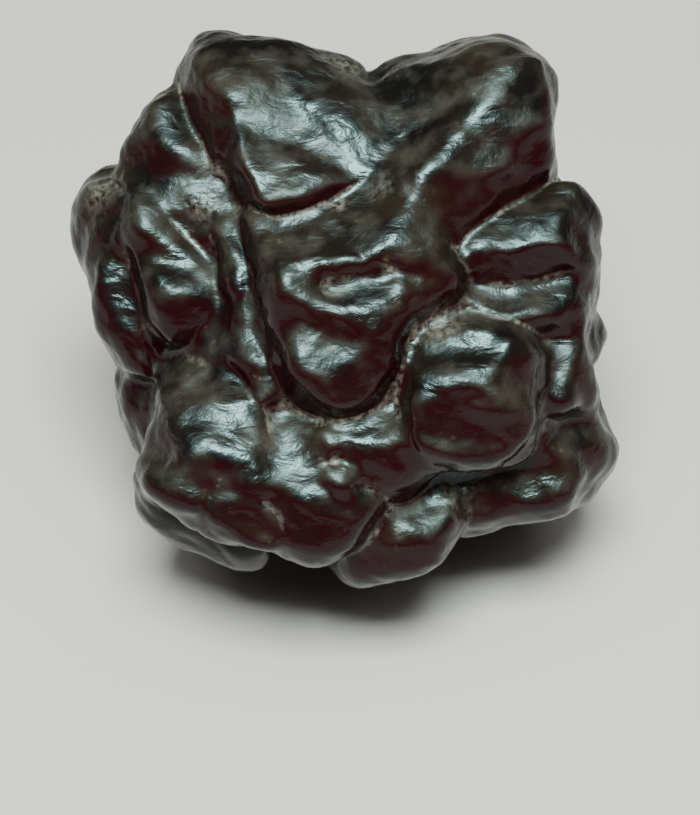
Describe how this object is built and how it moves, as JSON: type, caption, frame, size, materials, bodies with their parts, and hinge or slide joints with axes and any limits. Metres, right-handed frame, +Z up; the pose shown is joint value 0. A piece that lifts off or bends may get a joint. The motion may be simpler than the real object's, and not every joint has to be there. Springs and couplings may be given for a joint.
{
  "type": "prophecy stone",
  "caption": "Palm-sized nodule of dark iron oxide: packed, wind-worn blade ends with flat faces, ridges and narrow creases, standing on a small flat spot.",
  "frame": {"origin": "centre of the stone's width and depth, on the surface that it rests on", "axes": "+Z up from the flat spot; the side that shows best leans back and looks half way between -Y and +Z; +X to the right of that side"},
  "size_m": [0.0413, 0.041, 0.0409],
  "materials": {
    "iron_oxide": "wind-polished dark iron oxide with a waxy, half-metallic sheen and pale dust in the creases"
  },
  "bodies": {
    "root": {"stone": "iron_oxide"}
  },
  "joints": []
}
